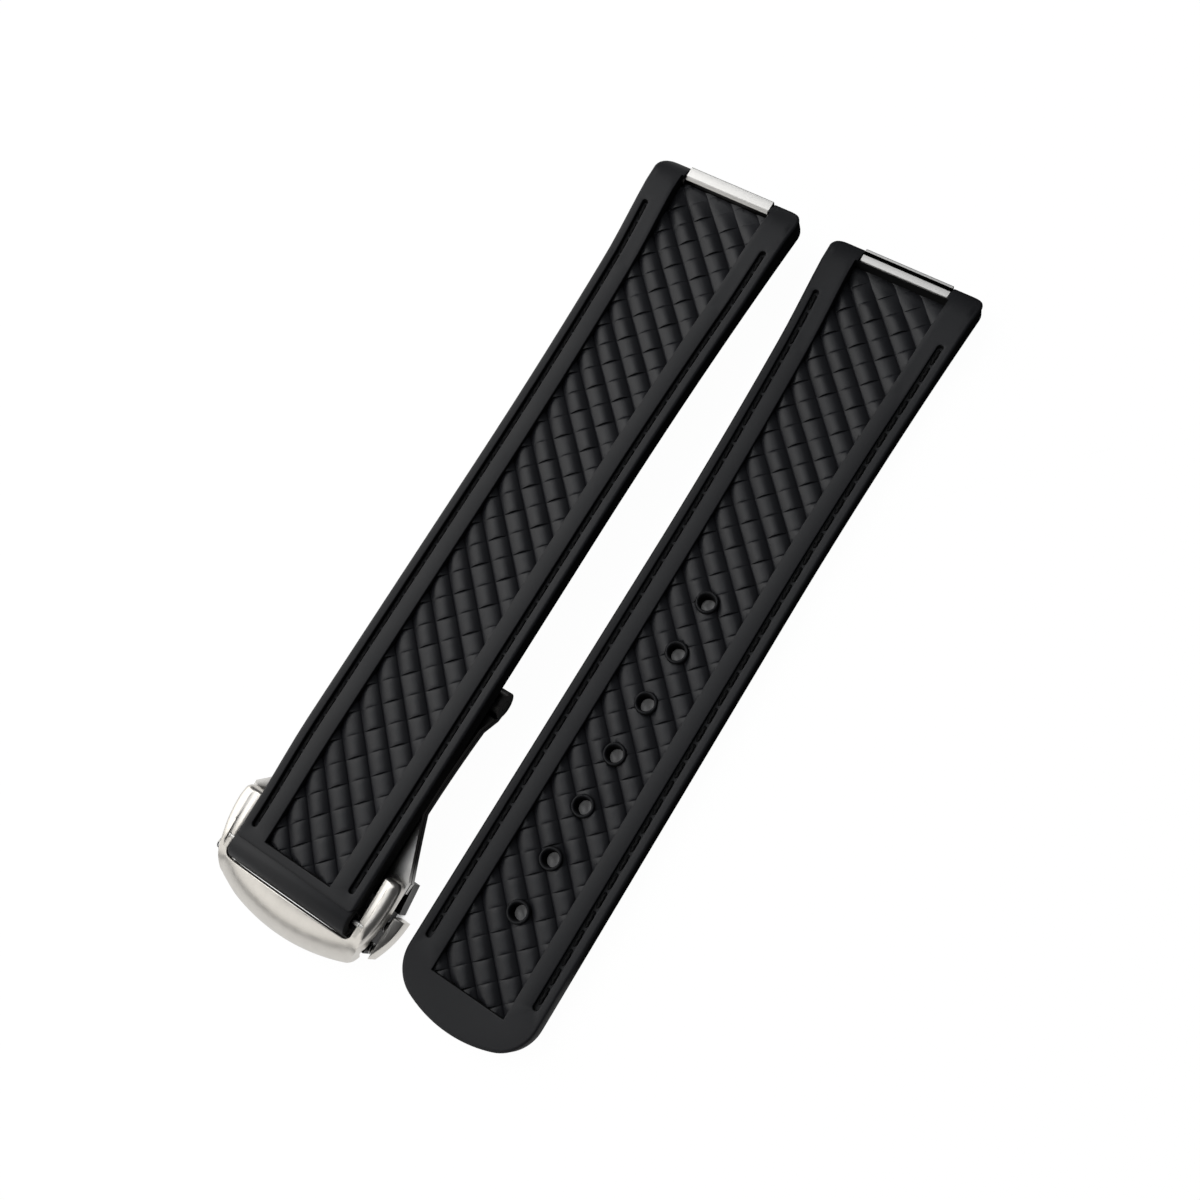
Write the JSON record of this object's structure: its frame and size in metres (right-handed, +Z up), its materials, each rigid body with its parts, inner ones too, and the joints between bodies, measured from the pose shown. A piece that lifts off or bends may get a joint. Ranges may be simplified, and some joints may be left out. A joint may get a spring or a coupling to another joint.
{
  "type": "rubber watch strap with folding clasp",
  "caption": "Black two-piece rubber watch strap with a woven inlay between stitched rails, steel lug bars, sizing holes and a folding steel clasp with release buttons.",
  "frame": {"origin": "centre of the bounding box's underside, on the table under both halves", "axes": "+Y along the straps towards the lug ends, +X from the clasp half to the holed half, +Z up"},
  "size_m": [0.0478, 0.109, 0.0084],
  "materials": {
    "rubber_black": "matte",
    "rubber_woven": "satin",
    "thread_black": "matte",
    "steel_brushed": "brushed",
    "steel_dark": "brushed",
    "steel_polished": "polished",
    "spring_steel": "brushed"
  },
  "bodies": {
    "clasp_base": {"lower_blade": "steel_brushed", "keeper_frame": "steel_dark", "keeper_rivets": "steel_brushed", "hinge_pin": "steel_brushed", "stud_bar_pin": "steel_brushed", "button_springs_left": "spring_steel", "button_springs_right": "spring_steel"},
    "stud_bar_body": {"stud_bar": "steel_brushed", "sizing_stud": "steel_brushed"},
    "clasp_lid": {"upper_blade": "steel_brushed", "clasp_cover": "steel_polished", "cover_rivets": "steel_brushed", "spring_bar_tube": "steel_brushed", "spring_bar_coil": "spring_steel"},
    "left_button": {"button_left": "steel_polished"},
    "right_button": {"button_right": "steel_polished"},
    "left_tip": {"spring_bar_tip_left": "steel_brushed"},
    "right_tip": {"spring_bar_tip_right": "steel_brushed"},
    "strap_a": {"strap_a_rubber": "rubber_black", "strap_a_weave": "rubber_woven", "strap_a_stitches_left": "thread_black", "strap_a_stitches_right": "thread_black", "strap_a_lug_bar": "steel_brushed"},
    "strap_b": {"strap_b_rubber": "rubber_black", "strap_b_weave": "rubber_woven", "strap_b_stitches_left": "thread_black", "strap_b_stitches_right": "thread_black", "strap_b_lug_bar": "steel_brushed"}
  },
  "joints": [
    {"name": "clasp_hinge", "type": "hinge", "parent": "clasp_base", "child": "clasp_lid", "pos_m": [-0.01061, -0.01795, 0.0017], "axis": [-1, 0, 0], "range_deg": [0, 170]},
    {"name": "strap_a_pivot", "type": "hinge", "parent": "clasp_lid", "child": "strap_a", "pos_m": [-0.01061, -0.04775, 0.00553], "axis": [1, 0, 0], "range_deg": [0, 90]},
    {"name": "stud_bar_hinge", "type": "hinge", "parent": "clasp_base", "child": "stud_bar_body", "pos_m": [-0.01061, -0.04865, 0.00055], "axis": [-1, 0, 0], "range_deg": [0, 90]},
    {"name": "button_left_slide", "type": "slide", "parent": "clasp_base", "child": "left_button", "axis": [1, 0, 0], "range_m": [0, 0.0005], "stiffness_N_per_m": 200, "deforming": ["button_springs_left"]},
    {"name": "button_right_slide", "type": "slide", "parent": "clasp_base", "child": "right_button", "axis": [-1, 0, 0], "range_m": [0, 0.0005], "stiffness_N_per_m": 200, "deforming": ["button_springs_right"]},
    {"name": "spring_bar_tip_left_slide", "type": "slide", "parent": "clasp_lid", "child": "left_tip", "axis": [1, 0, 0], "range_m": [0, 0.00115], "stiffness_N_per_m": 100, "deforming": ["spring_bar_coil"]},
    {"name": "spring_bar_tip_right_slide", "type": "slide", "parent": "clasp_lid", "child": "right_tip", "axis": [-1, 0, 0], "range_m": [0, 0.00115], "stiffness_N_per_m": 100},
    {"name": "strap_b_lift", "type": "slide", "parent": "clasp_base", "child": "strap_b", "axis": [0, 0, 1], "range_m": [0, 0.03]}
  ]
}
